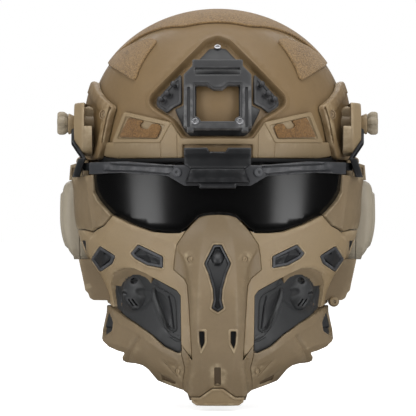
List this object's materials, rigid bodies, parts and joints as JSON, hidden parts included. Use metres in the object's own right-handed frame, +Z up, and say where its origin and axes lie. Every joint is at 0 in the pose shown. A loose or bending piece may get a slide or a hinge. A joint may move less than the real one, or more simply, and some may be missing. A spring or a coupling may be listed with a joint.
{
  "type": "airsoft helmet",
  "caption": "Full-face airsoft helmet: domed shell with shroud and side rails, flip-up smoke visor, hinged ear cups and a panelled lower mask with fan pods.",
  "frame": {"origin": "centre of the head at headband level, midway between the ears", "axes": "+Z up, front of the helmet towards -Y, wearer's left towards +X as seen from the front"},
  "size_m": [0.2472, 0.282, 0.3033],
  "materials": {
    "tan_plastic": "satin, moulded tan polymer",
    "edge_rubber": "matt black rubber",
    "loop_fabric": "brushed tan loop fabric",
    "black_frame": "satin black glass-filled polymer",
    "dark_plastic": "matt dark grey polymer",
    "steel_screws": "plain steel",
    "smoke_lens": "gloss, dark smoke polycarbonate",
    "foam_pads": "black cloth over foam",
    "grey_plastic": "satin dark grey polymer"
  },
  "bodies": {
    "helmet": {"helmet_shell": "tan_plastic", "edge_trim": "edge_rubber", "brow_band": "tan_plastic", "rail_left": "tan_plastic", "rail_right": "tan_plastic", "rail_screws": "tan_plastic", "shroud_base": "black_frame", "shroud_frame": "black_frame", "shroud_screws": "steel_screws", "lanyard_anchors": "black_frame", "crown_patch": "loop_fabric", "side_patches": "loop_fabric", "brow_patches": "loop_fabric", "pad_crown": "foam_pads", "pad_front": "foam_pads", "pad_rear": "foam_pads", "side_pads": "foam_pads", "headband": "grey_plastic", "dial_housing": "grey_plastic", "nape_pad": "foam_pads", "mask_centre": "tan_plastic", "cheek_left": "tan_plastic", "cheek_right": "tan_plastic", "temple_arm_left": "tan_plastic", "temple_arm_right": "tan_plastic", "jaw_left": "tan_plastic", "jaw_right": "tan_plastic", "chin_guard": "tan_plastic", "nose_insert": "dark_plastic", "lens_seal": "edge_rubber", "vents_left": "dark_plastic", "vents_right": "dark_plastic", "pod_left": "dark_plastic", "pod_right": "dark_plastic", "fan_frame_left": "dark_plastic", "fan_frame_right": "dark_plastic", "rear_guard_left": "tan_plastic", "rear_guard_right": "tan_plastic", "mask_screws": "tan_plastic"},
    "visor": {"visor_lens": "smoke_lens", "visor_centre": "black_frame", "visor_bar_left": "black_frame", "visor_bar_right": "black_frame", "visor_arm_left": "black_frame", "visor_arm_right": "black_frame", "pivot_collar_left": "tan_plastic", "pivot_collar_right": "tan_plastic", "visor_screws": "steel_screws"},
    "knob_left": {"thumb_knob_left": "tan_plastic"},
    "knob_right": {"thumb_knob_right": "tan_plastic"},
    "ear_left": {"ear_arm_left": "black_frame", "ear_cup_left": "tan_plastic", "ear_cushion_left": "foam_pads"},
    "ear_right": {"ear_arm_right": "black_frame", "ear_cup_right": "tan_plastic", "ear_cushion_right": "foam_pads"},
    "dial": {"dial_knob": "dark_plastic"},
    "fan_left": {"fan_rotor_left": "dark_plastic"},
    "fan_right": {"fan_rotor_right": "dark_plastic"}
  },
  "joints": [
    {"name": "visor_flip", "type": "hinge", "parent": "helmet", "child": "visor", "pos_m": [0, -0.045, 0.031], "axis": [-1, 0, 0], "range_deg": [0, 75]},
    {"name": "knob_left_turn", "type": "hinge", "parent": "helmet", "child": "knob_left", "pos_m": [-0.11, -0.045, 0.031], "axis": [1, 0, 0], "continuous": true},
    {"name": "knob_right_turn", "type": "hinge", "parent": "helmet", "child": "knob_right", "pos_m": [0.11, -0.045, 0.031], "axis": [1, 0, 0], "continuous": true},
    {"name": "ear_left_swing", "type": "hinge", "parent": "helmet", "child": "ear_left", "pos_m": [-0.1075, 0.024, 0.003], "axis": [0, 1, 0], "range_deg": [0, 25]},
    {"name": "ear_right_swing", "type": "hinge", "parent": "helmet", "child": "ear_right", "pos_m": [0.1075, 0.024, 0.003], "axis": [0, -1, 0], "range_deg": [0, 25]},
    {"name": "dial_turn", "type": "hinge", "parent": "helmet", "child": "dial", "pos_m": [0, 0.115, -0.069], "axis": [0, 1, 0], "continuous": true},
    {"name": "fan_left_spin", "type": "hinge", "parent": "helmet", "child": "fan_left", "pos_m": [-0.06, -0.08674, -0.097], "axis": [-0.5299, -0.848, 0], "continuous": true},
    {"name": "fan_right_spin", "type": "hinge", "parent": "helmet", "child": "fan_right", "pos_m": [0.06, -0.08674, -0.097], "axis": [0.5299, -0.848, 0], "continuous": true}
  ]
}
